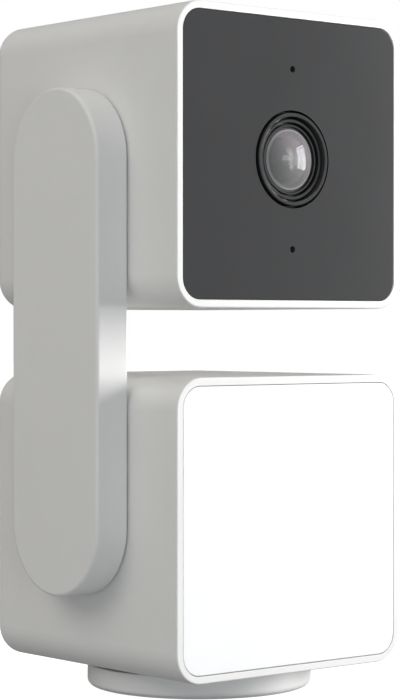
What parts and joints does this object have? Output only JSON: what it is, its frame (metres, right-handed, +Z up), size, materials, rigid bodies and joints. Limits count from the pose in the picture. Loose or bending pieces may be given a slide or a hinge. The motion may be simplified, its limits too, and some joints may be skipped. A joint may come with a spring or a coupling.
{
  "type": "floodlight security camera",
  "caption": "Compact pan-and-tilt security camera: a rounded camera block above a matching light block, joined by a side arm, on a round turning base with a tripod thread.",
  "frame": {"origin": "on the pan axis in the plane the camera stands on, at the mouth of the tripod thread", "axes": "+Z up along the pan axis, -Y out of the lens and light, +X to the viewer's right when facing the front (the arm is on the -X side)"},
  "size_m": [0.0611, 0.0557, 0.1242],
  "materials": {
    "white_shell": "fine satin",
    "black_face": "satin, dark",
    "opal_diffuser": "opal, satin",
    "lens_glass": "polished, coated",
    "lens_ring": "satin black",
    "lens_black": "matt black",
    "rubber_grey": "matt",
    "rubber_black": "matt",
    "steel": "plain",
    "screw_steel": "blackened",
    "brass": "turned",
    "aluminium": "anodised",
    "gear_nylon": "natural nylon",
    "bush_acetal": "black acetal",
    "frame_plastic": "moulded grey",
    "reflector_white": "glossy white",
    "pcb": "green solder mask",
    "led_core_board": "white solder mask",
    "chip_black": "moulded black",
    "led_yellow": "phosphor",
    "led_clear": "dark tinted epoxy",
    "pipe_clear": "clear",
    "cone_black": "doped paper"
  },
  "bodies": {
    "base": {"base_cover": "white_shell", "base_plate": "white_shell", "foot_ring": "rubber_grey", "base_weight": "steel", "tripod_insert": "brass", "base_screws": "screw_steel", "pan_gear": "gear_nylon", "pan_retainer": "steel"},
    "lower_body": {"light_housing": "white_shell", "light_diffuser": "opal_diffuser", "light_gasket": "rubber_black", "light_reflector": "reflector_white", "led_board": "led_core_board", "led_chips": "led_yellow", "heatsink": "aluminium", "main_board": "pcb", "main_board_parts": "chip_black", "pan_motor_bracket": "steel", "pan_motor": "steel", "light_screws": "screw_steel", "pan_bush": "bush_acetal", "speaker_frame": "frame_plastic", "speaker_cone": "cone_black", "inlet_board": "pcb", "power_inlet": "steel", "arm_cover": "white_shell", "arm_lid": "white_shell", "arm_screws": "screw_steel", "arm_sleeve": "steel", "arm_nut": "brass", "arm_cable": "rubber_black", "slip_ring_core": "bush_acetal", "tilt_hub": "steel", "tilt_gear": "gear_nylon", "tilt_retainer": "steel"},
    "camera_head": {"head_housing": "white_shell", "face_plate": "black_face", "face_gasket": "rubber_black", "lens_ring": "lens_ring", "lens_hood": "lens_black", "lens_dome": "lens_glass", "lens_barrel": "lens_black", "lens_element": "lens_glass", "lens_holder": "lens_black", "image_sensor": "chip_black", "camera_board": "pcb", "camera_board_parts": "chip_black", "infrared_leds": "led_clear", "microphone": "rubber_black", "status_light": "pipe_clear", "head_chassis": "frame_plastic", "head_cable": "rubber_black", "head_screws": "screw_steel", "tilt_motor": "steel", "tilt_bush": "bush_acetal", "card_socket": "steel"},
    "pan_pinion": {"pan_pinion": "steel"},
    "tilt_pinion": {"tilt_pinion": "steel"},
    "setup_button": {"setup_button": "rubber_grey"}
  },
  "joints": [
    {"name": "pan", "type": "hinge", "parent": "base", "child": "lower_body", "pos_m": [0, 0, 0.0074], "axis": [0, 0, 1], "range_deg": [-174, 174]},
    {"name": "pan_pinion_spin", "type": "hinge", "parent": "lower_body", "child": "pan_pinion", "pos_m": [0.012, 0.01204, 0.0074], "axis": [0, 0, 1], "range_deg": [-815, 815]},
    {"name": "tilt", "type": "hinge", "parent": "lower_body", "child": "camera_head", "pos_m": [-0.0245, 0, 0.0974], "axis": [1, 0, 0], "range_deg": [-90, 90]},
    {"name": "tilt_pinion_spin", "type": "hinge", "parent": "camera_head", "child": "tilt_pinion", "pos_m": [-0.0217, 0.012, 0.0884], "axis": [1, 0, 0], "range_deg": [-362, 362]},
    {"name": "button_press", "type": "slide", "parent": "lower_body", "child": "setup_button", "axis": [0, -1, 0], "range_m": [0, 0.0005], "stiffness_N_per_m": 1000}
  ],
  "couplings": [
    {"joint": "pan_pinion_spin", "follows": "pan", "ratio": 4.6667},
    {"joint": "tilt_pinion_spin", "follows": "tilt", "ratio": 4}
  ]
}
